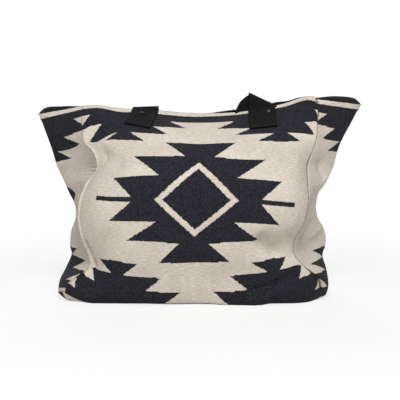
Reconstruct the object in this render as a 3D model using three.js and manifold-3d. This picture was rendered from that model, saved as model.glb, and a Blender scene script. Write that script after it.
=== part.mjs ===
// A soft cotton tote bag, standing open on its flat base with its handles dropped into the mouth.
// One length of cloth makes the front, the base and the back, and a gusset closes each side.
// A lining of the same cut lies inside, and two flat webbing handles are riveted on at the rim.
// Millimetres, +Z up, the front towards -Y, the origin at the middle of the base.
import * as THREE from 'three';
import { mergeVertices } from 'three/addons/utils/BufferGeometryUtils.js';
import Module from 'manifold-3d';

const wasm = await Module();
wasm.setup();

// Size of the standing bag
const BASE_LENGTH = 366;
const BASE_DEPTH = 150;
const RIM_HEIGHT_AT_SEAMS = 285;
const RIM_HEIGHT_AT_CENTRE = 264;
const RIM_HEIGHT_AT_WINGS = 271;
const MOUTH_GAP = 18;
const MOUTH_DEPTH_AT_SEAMS = 84;
const WING_SPAN = 470;

// Cloth, webbing and rivets
const CLOTH_THICKNESS = 1.6;
const LINING_THICKNESS = 0.7;
const WEBBING_WIDTH = 38;
const WEBBING_THICKNESS = 2.4;
const HANDLE_SPACING = 171;
const RIVET_CAP_DIAMETER = 8;
const RIVET_CAP_HEIGHT = 1.8;
const RIVET_HEAD_HEIGHT = 1.1;
const RIVET_SHANK_DIAMETER = 3;

// Clearances between pieces that touch on the real bag
const LAYER_GAP = 0.3;
const SEAM_GAP = 0.4;
const RIVET_GAP = 0.5;
const HOLE_CLEARANCE = 0.3;

const CLOTH_COLOUR = 0xd9cfbf;
const LINING_COLOUR = 0x1d1d1f;
const WEBBING_COLOUR = 0x252526;
const RIVET_COLOUR = 0x3a3a3c;

// The drape, from the edge of the base up to the rim. At each station belly is how far the middle
// of the front stands out from the bag's middle plane, seam is the place of the gusset's seam, and
// fold is how far the gusset's middle stands out to the side. Rise is a share of the rim's height,
// and the higher flat is, the flatter the front is between its seams.
const halfBase = BASE_LENGTH / 2;
const halfDepth = BASE_DEPTH / 2;
const halfMouth = MOUTH_GAP / 2;
const mouthSide = MOUTH_DEPTH_AT_SEAMS / 2;
const wing = WING_SPAN / 2;
const DRAPE = [
  { rise: 0, belly: halfDepth, seam: [halfBase, halfDepth], fold: halfBase + 12, flat: 6 },
  { rise: 0.13, belly: halfDepth + 25, seam: [halfBase - 21, halfDepth - 6], fold: halfBase + 11, flat: 6 },
  { rise: 0.265, belly: halfDepth + 37, seam: [halfBase - 37, halfDepth - 7], fold: halfBase + 5, flat: 6 },
  { rise: 0.4, belly: halfDepth + 40, seam: [halfBase - 26, halfDepth - 2], fold: halfBase - 2, flat: 6 },
  { rise: 0.53, belly: halfDepth + 39, seam: [halfBase - 22, halfDepth - 5], fold: wing - 54, flat: 6 },
  { rise: 0.66, belly: halfDepth + 33, seam: [halfBase - 34, mouthSide + 12], fold: wing - 39, flat: 5 },
  { rise: 0.77, belly: halfMouth + 88, seam: [halfBase - 23, mouthSide + 5], fold: wing - 27, flat: 4 },
  { rise: 0.85, belly: halfMouth + 69, seam: [halfBase - 17, mouthSide + 3], fold: wing - 19, flat: 3 },
  { rise: 0.935, belly: halfMouth + 32, seam: [halfBase - 17, mouthSide + 1], fold: wing - 9, flat: 2.4 },
  { rise: 1, belly: halfMouth, seam: [halfBase - 18, mouthSide], fold: wing, flat: 2 },
];
const RIM = DRAPE.length - 1;
const SEWN_ROWS = [RIM - 1, RIM - 0.75, RIM - 0.5, RIM - 0.25, RIM];
const RIVET_ROW = RIM - 0.5;
const WALL_ROWS = [0, 0.5, 1, 2, 3, 4, 4.5, 5, 5.5, 6, 7, ...SEWN_ROWS];
const GUSSET_COLUMNS = [-1, -0.75, -0.5, -0.25, 0, 0.25, 0.5, 0.75, 1];

const bellyCurve = new THREE.CatmullRomCurve3(DRAPE.map(
  ({ rise, belly }) => new THREE.Vector3(0, -belly, rise * RIM_HEIGHT_AT_CENTRE)));
const seamCurve = new THREE.CatmullRomCurve3(DRAPE.map(
  ({ rise, seam }) => new THREE.Vector3(seam[0], -seam[1], rise * RIM_HEIGHT_AT_SEAMS)));
const foldCurve = new THREE.CatmullRomCurve3(DRAPE.map(
  ({ rise, fold }) => new THREE.Vector3(fold, 0, rise * RIM_HEIGHT_AT_WINGS)));
const UP = new THREE.Vector3(0, 0, 1);
const ACROSS = new THREE.Vector3(1, 0, 0);
const BACKWARDS = new THREE.Vector3(0, 1, 0);
const LOWER_FACE = 5;
const SIDE_FACES = [0, 1];
const SAME_POINT = 1e-4;
const SMALL_STEP = 0.01;
const RIVET_SIDES = 12;

// The direction that leaves two faces, of inward normals a and b, equally far.
function mitre(a, b) {
  return a.clone().add(b).divideScalar(1 + a.dot(b));
}

function flatness(station) {
  const below = Math.floor(station);
  const above = Math.ceil(station);
  return THREE.MathUtils.lerp(DRAPE[below].flat, DRAPE[above].flat, station - below);
}

// The belly, seam and fold lines at one station of the wall, moved a depth into the cloth.
function wallLines(station, depth) {
  const share = station / RIM;
  const belly = bellyCurve.getPoint(share);
  const seam = seamCurve.getPoint(share);
  const fold = foldCurve.getPoint(share);
  const rising = seamCurve.getTangent(share);

  const flat = flatness(station);
  const alongPanel = new THREE.Vector3(seam.x, flat * (seam.y - belly.y), flat * (seam.z - belly.z));
  const alongGusset = new THREE.Vector3(2 * (fold.x - seam.x), -seam.y, 2 * (fold.z - seam.z));
  const intoPanel = rising.clone().cross(alongPanel).normalize();
  const intoGusset = rising.clone().cross(alongGusset).normalize();
  let bellyInward = bellyCurve.getTangent(share).cross(ACROSS).normalize();
  let foldInward = foldCurve.getTangent(share).cross(BACKWARDS).normalize();
  const seamInward = mitre(intoPanel, intoGusset);
  if (station === 0) {
    bellyInward = mitre(bellyInward, UP);
    foldInward = mitre(foldInward, UP);
    seamInward.z = 1;
  }
  return {
    belly: belly.addScaledVector(bellyInward, depth),
    seam: seam.addScaledVector(seamInward, depth),
    fold: fold.addScaledVector(foldInward, depth),
  };
}

// A point of the front: across runs from -1 at the left seam to 1 at the right one.
function frontPoint(across, station, depth) {
  const { belly, seam } = wallLines(station, depth);
  const point = seam.clone().lerp(belly, 1 - Math.abs(across) ** flatness(station));
  point.x = across * seam.x;
  return point;
}

// A point of the right gusset: around runs from -1 at the front seam to 1 at the back one.
function gussetPoint(around, station, depth) {
  const { seam, fold } = wallLines(station, depth);
  const point = seam.clone().lerp(fold, 1 - around * around);
  point.y = -around * seam.y;
  return point;
}

// A point of the base, which runs back from the front's lower edge between the two gussets.
function basePoint(across, around, depth) {
  const side = gussetPoint(around, 0, depth);
  return new THREE.Vector3(across * side.x, side.y, depth);
}

// A closed sheet: a box of cells whose corners are moved to place(column, row, face). The cells of
// its lower face are split along the same diagonal as those above, so the thickness stays even, and
// a gusset's side faces are split like those of the panel that it is sewn to.
function sheetGeometry(columns, rows, place, flippedFaces = [LOWER_FACE]) {
  const box = new THREE.BoxGeometry(1, 1, 1, columns, rows, 1);
  box.deleteAttribute('normal');
  box.deleteAttribute('uv');
  for (const face of flippedFaces) {
    const { start, count } = box.groups[face];
    for (let cell = start; cell < start + count; cell += 6) {
      const [a, b, d, , c] = box.index.array.slice(cell, cell + 6);
      box.index.array.set([a, b, c, a, c, d], cell);
    }
  }
  const corners = box.attributes.position;
  for (let i = 0; i < corners.count; i += 1) {
    const column = Math.round((corners.getX(i) + 0.5) * columns);
    const row = Math.round((corners.getY(i) + 0.5) * rows);
    const point = place(column, row, corners.getZ(i) > 0);
    corners.setXYZ(i, point.x, point.y, point.z);
  }
  return mergeVertices(box, SAME_POINT);
}

function toSolid(geometry) {
  const vertProperties = geometry.attributes.position.array;
  const triVerts = Uint32Array.from(geometry.index.array);
  return new wasm.Manifold(new wasm.Mesh({ numProp: 3, vertProperties, triVerts }));
}

// Cuts closed geometries, each given with its matrix, out of another.
function cutAway(geometry, tools) {
  let solid = toSolid(geometry);
  for (const { tool, matrix } of tools) {
    const bare = tool.clone();
    bare.deleteAttribute('normal');
    bare.deleteAttribute('uv');
    solid = solid.subtract(toSolid(mergeVertices(bare.applyMatrix4(matrix), SAME_POINT)));
  }
  const { vertProperties, triVerts } = solid.getMesh();
  const result = new THREE.BufferGeometry();
  result.setAttribute('position', new THREE.BufferAttribute(vertProperties, 3));
  result.setIndex(new THREE.BufferAttribute(triVerts, 1));
  return result;
}

function namedMesh(name, geometry, colour, roughness, metalness) {
  geometry.computeVertexNormals();
  const material = new THREE.MeshStandardMaterial({ color: colour, roughness, metalness });
  const mesh = new THREE.Mesh(geometry, material);
  mesh.name = name;
  return mesh;
}

// The panel's columns include the handles' edges and middle, so a handle lies along its columns.
const rimHalfWidth = wallLines(RIM, 0).seam.x;
const handleInner = (HANDLE_SPACING - WEBBING_WIDTH) / 2 / rimHalfWidth;
const handleMiddle = HANDLE_SPACING / 2 / rimHalfWidth;
const handleOuter = (HANDLE_SPACING + WEBBING_WIDTH) / 2 / rimHalfWidth;
const handleColumns = [handleInner, handleMiddle, handleOuter];
const panelEdge = 1 - SEAM_GAP / rimHalfWidth;
const outerColumns = [0.4, 0.7, 0.88, 1].map((share) => THREE.MathUtils.lerp(handleOuter, panelEdge, share));
const sideColumns = [handleInner / 2, ...handleColumns, ...outerColumns];
const PANEL_COLUMNS = [...sideColumns.map((across) => -across).reverse(), 0, ...sideColumns];

// Front, base and back in one length, from the front rim down and round to the back rim.
function bodyGeometry(depth, thickness) {
  const wall = WALL_ROWS.length - 1;
  const base = GUSSET_COLUMNS.length - 1;
  return sheetGeometry(PANEL_COLUMNS.length - 1, wall + base + wall, (column, row, inside) => {
    const across = PANEL_COLUMNS[column];
    const layer = inside ? depth + thickness : depth;
    if (row < wall) {
      return frontPoint(across, WALL_ROWS[wall - row], layer);
    }
    if (row <= wall + base) {
      return basePoint(across, GUSSET_COLUMNS[row - wall], layer);
    }
    const point = frontPoint(across, WALL_ROWS[row - wall - base], layer);
    point.y = -point.y;
    return point;
  });
}

function gussetGeometry(depth, thickness) {
  return sheetGeometry(GUSSET_COLUMNS.length - 1, WALL_ROWS.length - 1, (column, row, outside) => {
    const layer = outside ? depth : depth + thickness;
    return gussetPoint(GUSSET_COLUMNS[column], WALL_ROWS[row], layer);
  }, [LOWER_FACE, ...SIDE_FACES]);
}

// Where each rivet goes through: the middle of a handle's sewn end, square to the cloth.
const liningDepth = CLOTH_THICKNESS + LAYER_GAP;
const innerFace = liningDepth + LINING_THICKNESS;
const webbingTop = LAYER_GAP + WEBBING_THICKNESS;
const holeRadius = RIVET_SHANK_DIAMETER / 2 + HOLE_CLEARANCE;
const holeLength = 4 * (webbingTop + innerFace);
const holeTool = new THREE.CylinderGeometry(holeRadius, holeRadius, holeLength, RIVET_SIDES);
holeTool.rotateX(Math.PI / 2);

function rivetMatrix(side, back) {
  const centre = frontPoint(side * handleMiddle, RIVET_ROW, 0);
  const across = frontPoint(side * handleMiddle + SMALL_STEP, RIVET_ROW, 0).sub(centre);
  const upwards = frontPoint(side * handleMiddle, RIVET_ROW + SMALL_STEP, 0).sub(centre);
  const outward = across.cross(upwards).normalize();
  const turn = new THREE.Quaternion().setFromUnitVectors(UP, outward);
  const matrix = new THREE.Matrix4().compose(centre, turn, new THREE.Vector3(1, 1, 1));
  return back ? matrix.premultiply(new THREE.Matrix4().makeRotationZ(Math.PI)) : matrix;
}

const RIVETS = [
  { place: 'front_left', matrix: rivetMatrix(-1, false) },
  { place: 'front_right', matrix: rivetMatrix(1, false) },
  { place: 'back_left', matrix: rivetMatrix(1, true) },
  { place: 'back_right', matrix: rivetMatrix(-1, true) },
];
const allHoles = RIVETS.map(({ matrix }) => ({ tool: holeTool, matrix }));
const frontHoles = allHoles.slice(0, 2);

// The front handle's free length, from the rim inwards. Its left end turns straight down into the
// mouth and its right end stands up before it turns, each as steps back and up from the rim.
const LEFT_TURN = [[5, 3], [9.5, 3], [12.5, -1], [13.5, -9]];
const RIGHT_TURN = [[1.8, 6], [2.8, 15], [5.5, 21], [9, 21], [11.8, 15], [12.8, 5], [13.6, -9]];
// The loop hangs inside the bag and twists a quarter turn, so that it lies flat at its lowest point.
const LOOP_CLEARANCE = 6;
const LOOP = [
  { across: 0.96, drop: 46, twist: 10 },
  { across: 0.87, drop: 86, twist: 35 },
  { across: 0.68, drop: 123, twist: 62 },
  { across: 0.37, drop: 153, twist: 82 },
];
const LOOP_LOW = { across: 0, drop: 165, twist: 90 };

// A stop is a point on the handle's middle line and the direction of its width there. On the loop it
// keeps far enough from the bag's middle plane to leave the other handle its room.
function loopStop({ across, drop, twist }, side, rim) {
  const angle = THREE.MathUtils.degToRad(twist);
  const wide = new THREE.Vector3(side * Math.cos(angle), Math.sin(angle), 0);
  const out = LOOP_CLEARANCE + wide.y * WEBBING_WIDTH / 2;
  const point = new THREE.Vector3(side * across * HANDLE_SPACING / 2, -out, rim.z - drop);
  return { point, wide };
}

// Where a handle's middle line crosses the rim.
function handleAtRim(side) {
  return frontPoint(side * handleMiddle, RIM, -LAYER_GAP - WEBBING_THICKNESS / 2);
}

// One end of the handle, from the rim down: its turn lies along the slope of the rim.
function handleLeg(side, turns) {
  const rim = handleAtRim(side);
  const wide = frontPoint(side * handleOuter, RIM, 0).sub(frontPoint(side * handleInner, RIM, 0)).setY(0);
  const stops = turns.map(([back, up]) => ({ point: new THREE.Vector3(0, back, up).add(rim), wide }));
  return [...stops, ...LOOP.map((stop) => loopStop(stop, side, rim))];
}

function handleGeometry() {
  const lowest = loopStop(LOOP_LOW, 1, handleAtRim(1));
  const free = [...handleLeg(-1, LEFT_TURN), lowest, ...handleLeg(1, RIGHT_TURN).reverse()];
  const ends = SEWN_ROWS.length;
  const rows = ends + free.length + ends;
  const columns = handleColumns.length - 1;

  function freePoint(index, column, under) {
    const before = free[index - 1]?.point ?? handleAtRim(-1);
    const after = free[index + 1]?.point ?? handleAtRim(1);
    const along = after.clone().sub(before).normalize();
    const wide = free[index].wide.clone();
    wide.addScaledVector(along, -wide.dot(along)).normalize();
    const thick = along.clone().cross(wide);
    const offset = (column / columns - 0.5) * WEBBING_WIDTH;
    const layer = (under ? -0.5 : 0.5) * WEBBING_THICKNESS;
    return free[index].point.clone().addScaledVector(wide, offset).addScaledVector(thick, layer);
  }

  return sheetGeometry(columns, rows - 1, (column, row, under) => {
    const depth = under ? -LAYER_GAP : -webbingTop;
    if (row < ends) {
      return frontPoint(-handleColumns[column], SEWN_ROWS[row], depth);
    }
    if (row >= rows - ends) {
      return frontPoint(handleColumns[column], SEWN_ROWS[rows - 1 - row], depth);
    }
    return freePoint(row - ends, column, under);
  });
}

// A domed cap outside the webbing, with a socket that takes the end of the post.
function rivetCapGeometry() {
  const seat = webbingTop + RIVET_GAP;
  const radius = RIVET_CAP_DIAMETER / 2;
  const profile = [
    new THREE.Vector2(0, seat + RIVET_CAP_HEIGHT / 2),
    new THREE.Vector2(holeRadius, seat + RIVET_CAP_HEIGHT / 2),
    new THREE.Vector2(holeRadius, seat),
    new THREE.Vector2(radius, seat),
    new THREE.Vector2(radius, seat + RIVET_CAP_HEIGHT / 3),
    new THREE.Vector2(radius * 0.7, seat + RIVET_CAP_HEIGHT * 0.85),
    new THREE.Vector2(0, seat + RIVET_CAP_HEIGHT),
  ];
  return new THREE.LatheGeometry(profile, RIVET_SIDES).rotateX(Math.PI / 2);
}

// A flat head inside the lining and a shank that reaches through every layer into the cap.
function rivetPostGeometry() {
  const seat = -innerFace - RIVET_GAP;
  const radius = RIVET_CAP_DIAMETER / 2;
  const shank = RIVET_SHANK_DIAMETER / 2;
  const tip = webbingTop + RIVET_GAP + RIVET_CAP_HEIGHT / 2 - HOLE_CLEARANCE;
  const profile = [
    new THREE.Vector2(0, seat - RIVET_HEAD_HEIGHT),
    new THREE.Vector2(radius * 0.8, seat - RIVET_HEAD_HEIGHT),
    new THREE.Vector2(radius, seat),
    new THREE.Vector2(shank, seat),
    new THREE.Vector2(shank, tip),
    new THREE.Vector2(0, tip),
  ];
  return new THREE.LatheGeometry(profile, RIVET_SIDES).rotateX(Math.PI / 2);
}

const bag = new THREE.Group();
bag.add(namedMesh('body_panel', cutAway(bodyGeometry(0, CLOTH_THICKNESS), allHoles), CLOTH_COLOUR, 0.95, 0));
bag.add(namedMesh('body_lining', cutAway(bodyGeometry(liningDepth, LINING_THICKNESS), allHoles),
  LINING_COLOUR, 0.9, 0));

for (const [side, turn] of [['right', 0], ['left', Math.PI]]) {
  const gusset = namedMesh(`${side}_gusset`, gussetGeometry(0, CLOTH_THICKNESS), CLOTH_COLOUR, 0.95, 0);
  const lining = namedMesh(`${side}_gusset_lining`, gussetGeometry(liningDepth, LINING_THICKNESS),
    LINING_COLOUR, 0.9, 0);
  gusset.rotation.z = turn;
  lining.rotation.z = turn;
  bag.add(gusset, lining);
}

for (const [side, turn] of [['front', 0], ['back', Math.PI]]) {
  const handle = namedMesh(`${side}_handle`, cutAway(handleGeometry(), frontHoles), WEBBING_COLOUR, 0.85, 0);
  handle.rotation.z = turn;
  bag.add(handle);
}

for (const { place, matrix } of RIVETS) {
  const rivet = new THREE.Group();
  rivet.add(namedMesh(`${place}_rivet_cap`, rivetCapGeometry(), RIVET_COLOUR, 0.35, 1));
  rivet.add(namedMesh(`${place}_rivet_post`, rivetPostGeometry(), RIVET_COLOUR, 0.35, 1));
  rivet.applyMatrix4(matrix);
  bag.add(rivet);
}

export default bag;
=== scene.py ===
import math

import bmesh
import bpy
import numpy as np
from mathutils import Matrix, Vector, noise


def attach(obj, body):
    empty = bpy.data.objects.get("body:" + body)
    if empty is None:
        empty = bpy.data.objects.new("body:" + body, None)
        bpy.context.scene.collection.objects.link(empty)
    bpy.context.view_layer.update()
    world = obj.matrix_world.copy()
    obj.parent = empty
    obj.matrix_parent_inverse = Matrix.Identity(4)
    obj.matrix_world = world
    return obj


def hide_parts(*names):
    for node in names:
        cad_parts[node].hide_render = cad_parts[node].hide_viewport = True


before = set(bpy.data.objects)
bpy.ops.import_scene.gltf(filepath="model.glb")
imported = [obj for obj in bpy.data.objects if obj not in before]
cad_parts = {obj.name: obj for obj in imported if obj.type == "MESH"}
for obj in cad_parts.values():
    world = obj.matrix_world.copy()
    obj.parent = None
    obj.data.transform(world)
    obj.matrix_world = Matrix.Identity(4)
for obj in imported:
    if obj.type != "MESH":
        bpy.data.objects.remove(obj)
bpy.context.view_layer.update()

# The studio: a pale floor that runs into a white surround, one broad soft lamp high in front of the bag,
# a weaker one behind it, and a camera near the height of the rim that looks slightly down.
PHOTO_WIDTH = 400
FOCAL_LENGTH = 994
SENSOR_WIDTH = 36.0
CAMERA_PLACE = (0, -1.45, 0.30)
CAMERA_TILT = 6.38
WHITE = "#ffffff"
FLOOR_WHITE = "#f4f3f1"
FLOOR_HALF_SIZE = 3.0
FLOOR_FADE = (0.3, 0.8)
FLOOR_GLOW = 0.75
SURROUND_STRENGTH = 0.13
LAMP_PLACE = (0.1, -1.5, 1.7)
LAMP_SIZE = 1.2
LAMP_WATTS = 46
BACK_LAMP_PLACE = (-0.3, 1.6, 1.3)
BACK_LAMP_WATTS = 17
LAMP_AIM = (0, 0, 0.12)


def linear(hex_colour):
    """An sRGB hex colour as the linear RGBA that a shader socket takes."""
    channels = [int(hex_colour[i:i + 2], 16) / 255 for i in (1, 3, 5)]
    return [c / 12.92 if c <= 0.04045 else ((c + 0.055) / 1.055) ** 2.4 for c in channels] + [1]


def add_node(tree, kind, inputs=None, **settings):
    """A shader node with its settings, and with each named input linked to a node or set to a value."""
    node = tree.nodes.new("ShaderNode" + kind)
    for name, value in settings.items():
        setattr(node, name, value)
    for key, value in (inputs or {}).items():
        if isinstance(value, bpy.types.Node):
            value = value.outputs[0]
        if isinstance(value, bpy.types.NodeSocket):
            tree.links.new(value, node.inputs[key])
        else:
            node.inputs[key].default_value = value
    return node


def empty_material(name):
    """A material with no nodes yet, and its node tree."""
    material = bpy.data.materials.new(name)
    material.use_nodes = True
    material.node_tree.nodes.clear()
    return material, material.node_tree


def new_object(name, bm, material):
    """The bmesh as an object of that name at the origin, smooth-shaded in that material."""
    mesh = bpy.data.meshes.new(name)
    bm.to_mesh(mesh)
    bm.free()
    mesh.materials.append(material)
    mesh.shade_smooth()
    piece = bpy.data.objects.new(name, mesh)
    bpy.context.scene.collection.objects.link(piece)
    return piece


scene = bpy.context.scene
camera_data = bpy.data.cameras.new("camera")
camera_data.sensor_width = SENSOR_WIDTH
camera_data.lens = SENSOR_WIDTH * FOCAL_LENGTH / PHOTO_WIDTH
camera = bpy.data.objects.new("camera", camera_data)
camera.location = CAMERA_PLACE
camera.rotation_euler = (math.radians(90 - CAMERA_TILT), 0, 0)
scene.collection.objects.link(camera)
scene.camera = camera
scene.view_settings.view_transform = "Standard"

world = bpy.data.worlds.new("white surround")
scene.world = world
world.use_nodes = True
tree = world.node_tree
tree.nodes.clear()
path = add_node(tree, "LightPath")
seen = add_node(tree, "Math", {0: path.outputs["Is Camera Ray"], 1: path.outputs["Is Glossy Ray"]},
                operation="MAXIMUM")
seen = add_node(tree, "Math", {0: seen, 1: path.outputs["Is Transmission Ray"]}, operation="MAXIMUM")
strength = add_node(tree, "MapRange", {"Value": seen, "To Min": SURROUND_STRENGTH, "To Max": 1.0})
surround = add_node(tree, "Background", {"Color": linear(WHITE), "Strength": strength})
add_node(tree, "OutputWorld", {"Surface": surround})

for name, lamp_place, watts in (("soft lamp", LAMP_PLACE, LAMP_WATTS),
                                ("soft back lamp", BACK_LAMP_PLACE, BACK_LAMP_WATTS)):
    lamp_data = bpy.data.lights.new(name, "AREA")
    lamp_data.size = LAMP_SIZE
    lamp_data.energy = watts
    lamp = bpy.data.objects.new(name, lamp_data)
    lamp.location = lamp_place
    lamp.rotation_euler = (Vector(LAMP_AIM) - lamp.location).to_track_quat("-Z", "Y").to_euler()
    scene.collection.objects.link(lamp)

# Matt floor paint: even and pale, so that it takes the bag's soft shadow and fades to white further off
floor_paint, tree = empty_material("matt floor paint")
path = add_node(tree, "LightPath")
place = add_node(tree, "TexCoord")
distance = add_node(tree, "VectorMath", {0: place.outputs["Object"]}, operation="LENGTH")
fade = add_node(tree, "MapRange", {"Value": distance.outputs["Value"], "From Min": FLOOR_FADE[0],
                "From Max": FLOOR_FADE[1], "To Min": FLOOR_GLOW}, interpolation_type="SMOOTHSTEP")
fade = add_node(tree, "Math", {0: fade, 1: path.outputs["Is Camera Ray"]}, operation="MULTIPLY")
near = add_node(tree, "BsdfDiffuse", {"Color": linear(FLOOR_WHITE)})
far = add_node(tree, "Emission", {"Color": linear(WHITE), "Strength": 1.0})
floor_shader = add_node(tree, "MixShader", {0: fade, 1: near, 2: far})
add_node(tree, "OutputMaterial", {"Surface": floor_shader})
bm = bmesh.new()
bmesh.ops.create_grid(bm, x_segments=1, y_segments=1, size=FLOOR_HALF_SIZE)
floor = new_object("floor", bm, floor_paint)

# The body panel: one length of jacquard-woven cotton that makes the front, the base and the back. It is
# sewn to the gussets along both sides and hemmed at both ends, and it slumps and creases by its own weight.
MM = 0.001
HALF_WIDTH = 183
WALL = 328
HALF_BASE = 75
RIM_TO_CENTRE = WALL + HALF_BASE
CLOTH_THICKNESS = 1.6
BODY_COLUMNS = 120
BODY_ROWS = 340
# Lines down the front wall: the cloth's length from the rim, then x, y and z. Side -1 is the left one here,
# and 1 the right one
FRONT_MIDDLE = [(0, 3, -6, 264), (22, 2, -26, 252.4), (41, 1.5, -43, 244.5), (61, 1, -60, 233),
                (81, 0, -75, 224), (110, -1, -95, 208), (139, -3, -108, 183), (168, -5, -113, 151),
                (197, -7, -114, 121), (227, -9, -112, 91), (256, -8, -107, 64.5), (275, -7, -100, 43),
                (295, -5, -95, 21), (314, -5, -88, 3), (328, -4, -78, 0)]
SEAM_LINES = {-1: [(0, -165, -30, 276), (22, -164, -43, 263), (41, -164, -44, 243), (61, -162, -45, 226),
                   (81, -150, -47, 213), (110, -144, -50, 189), (139, -158, -62, 169), (168, -167, -73, 146),
                   (197, -169, -74, 118), (227, -164, -71, 91), (256, -156, -68, 69), (275, -154, -68, 56),
                   (295, -163, -70, 44), (302, -171, -71, 39), (314, -184, -70, 28.5), (328, -191, -66, 15)],
              1: [(0, 163, -42, 289), (22, 167, -43, 271), (41, 166, -44, 254), (61, 165, -45, 234),
                  (81, 160, -47, 216), (110, 151.5, -50, 192), (139, 152, -62, 167), (168, 152, -73, 140),
                  (197, 145, -74, 112), (227, 132, -71, 89), (256, 133, -68, 68), (275, 144, -68, 54),
                  (295, 156, -70, 44), (302, 166, -66, 36), (314, 171.5, -58, 21), (322, 174, -55, 11),
                  (328, 172, -52, 5)]}
# The gussets' folds, which stand out to the sides: the cloth's length from the rim, then x and z
FOLD_LINES = {-1: [(0, -233.5, 264), (61, -216.6, 208), (80, -213, 194), (110, -207.3, 178), (139, -201, 163),
                   (168, -193.5, 147), (185, -185, 130), (197, -183.5, 117), (227, -190, 92), (256, -191, 69),
                   (275, -189, 58), (295, -197.5, 39), (314, -206, 20), (328, -208, 2)],
              1: [(4, 233.5, 277.5), (65, 206, 223), (84, 200.8, 209), (114, 193.8, 186.5), (143, 183.8, 167),
                  (172, 170.3, 147), (189, 168, 129), (201, 171, 117), (231, 185, 92), (260, 187, 69),
                  (279, 182, 55), (299, 185.5, 38), (317, 187, 14), (328, 184, 2)]}
# How round the folds are, as a share of the way to the seams
FOLD_ROUNDING = 0.16
# How far the folds lie behind the middle of the bag
FOLD_BACK = {-1: [(0, 0), (41, 4), (81, 15), (139, 18), (197, 8), (256, 0), (328, 0)],
             1: [(0, 0), (139, 0), (197, 8), (240, 14), (285, 4), (300, 0), (328, 0)]}
# Where each fold lies across its gusset, from -1 at the front seam to 1 at the back
FOLD_AT = {-1: [(0, 0), (328, 0)],
           1: [(0, 0), (110, 0), (150, -0.28), (190, -0.28), (231, 0), (328, 0)]}
# How each gusset runs from its fold to its seams: evenly at 1, bulging out above that and drawn in below it
GUSSET_BULGE = {-1: [(0, 1), (41, 0.93), (61, 0.6), (80, 0.7), (110, 0.8), (139, 0.7), (168, 0.45),
                     (197, 0.7), (227, 1), (275, 1), (295, 1.3), (314, 2.4), (328, 2.4)],
                1: [(0, 1), (61, 1), (84, 0.8), (139, 0.7), (168, 0.6), (197, 0.7), (227, 0.8), (256, 0.7),
                    (279, 1.2), (300, 2.4), (314, 4), (328, 4)]}
# How far the cloth spreads out towards each seam, by its length from the rim
SPREAD = {-1: [(0, 0), (41, 0), (61, 0.04), (81, 0.09), (100, 0.03), (112, 0), (200, 0), (227, 0.05),
               (256, 0.12), (295, 0.12), (314, 0.1), (328, 0.03)],
          1: [(0, 0.03), (22, 0.05), (41, 0.07), (61, 0.11), (81, 0.12), (100, 0.03), (110, 0), (227, 0),
              (256, 0.06), (295, 0.06), (328, 0)]}
# How much higher each row of cloth lies than its middle, at these shares of the way out to the left and right
LIFT_PLACES = (-0.83, -0.64, -0.45, 0.45, 0.64, 0.83)
ROW_LIFTS = [(0, 12, 7.8, 6, 7, 15, 25), (11, 13, 7.8, 5.5, 8, 15, 24), (41, 7.5, 7.5, 5, 2.5, 6.5, 11),
             (61, -7, 6.5, 6.5, 5.5, 6.5, 4), (81, 1, 6, 5, 4, 3, 1), (110, -2, -0.5, 1, -4, -4, -3),
             (139, -6, -3, 0, -5, -8, -11), (168, 1, 1, 1, -2, -5.5, -9), (197, 1.5, 1.2, 1, -1.5, -4.5, -8),
             (227, 1.5, 2, 2.5, 2, 1.5, 1), (256, 2, 0.5, -2.5, -0.5, 2, 4.5), (275, 7, 3.5, 0, 4.5, 8, 12),
             (295, 13.5, 7, 1, 2.5, 9, 16), (314, 13, 6, 1.5, -2, 3.5, 10), (328, 1.5, 0, 0, 0, 0, 0)]
# How flat the front is between its seams: the higher, the tighter it turns at the seams
FLATNESS = [(0, 2), (61, 3), (110, 5), (139, 6), (295, 6), (328, 10)]
# How much higher the back rim stands than the front one, by the share of the way across
BACK_RISE = [(-1, -2.5), (-0.6, -4), (0, -1), (0.2, 2.5), (0.45, 2.5), (0.6, 3), (0.72, -1.5), (0.85, -3),
             (1, -1.5)]
BACK_RISE_REACH = 150
# The same for the back half of each gusset, near its fold and half way to its seam
GUSSET_RISE_PLACES = (-1, -0.1, 0, 0.15, 0.5, 1)
GUSSET_RISE = {-1: (5.5, 4.5), 1: (5.5, 7)}
ROW_SAMPLES = np.linspace(0, 1, 61)
# How close to the seams a row's slack is taken up, and a limit that keeps the cloth from doubling back
SLACK_POWER = 6
LEAST_SLOPE = 0.93
# How far in from its edges the base comes down to the floor, and how far it bulges there, at each side
TUCK = {-1: (15, 0.1), 1: (65, 0)}
TUCK_CURVE = 1.5
# How strongly a cloth grid's columns crowd towards its seams, and the digits that tell its rows apart
EDGE_CROWDING = 0.86
GRID_DIGITS = 6


def smooth(stations, at):
    """Values at a key, or at several, on a smooth line through stations of a key and its values."""
    keys = np.array([station[0] for station in stations], float)
    values = np.array([station[1:] for station in stations], float)
    slopes = np.gradient(values, keys, axis=0)
    at = np.asarray(at, float)
    i = np.clip(np.searchsorted(keys, at) - 1, 0, len(keys) - 2)
    step = (keys[i + 1] - keys[i])[..., None]
    t = (at[..., None] - keys[i][..., None]) / step
    return (values[i] * (1 + 2 * t) * (1 - t) ** 2 + slopes[i] * step * t * (1 - t) ** 2
            + values[i + 1] * (3 - 2 * t) * t ** 2 - slopes[i + 1] * step * t ** 2 * (1 - t))


def from_rim(w):
    """The length of cloth from the nearer rim, at w along the cloth from the middle of the base."""
    return RIM_TO_CENTRE - abs(w)


def back_share(s):
    """How much of the back rim's rise is left, s from the rim."""
    return max(0, 1 - s / BACK_RISE_REACH) ** 2


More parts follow.
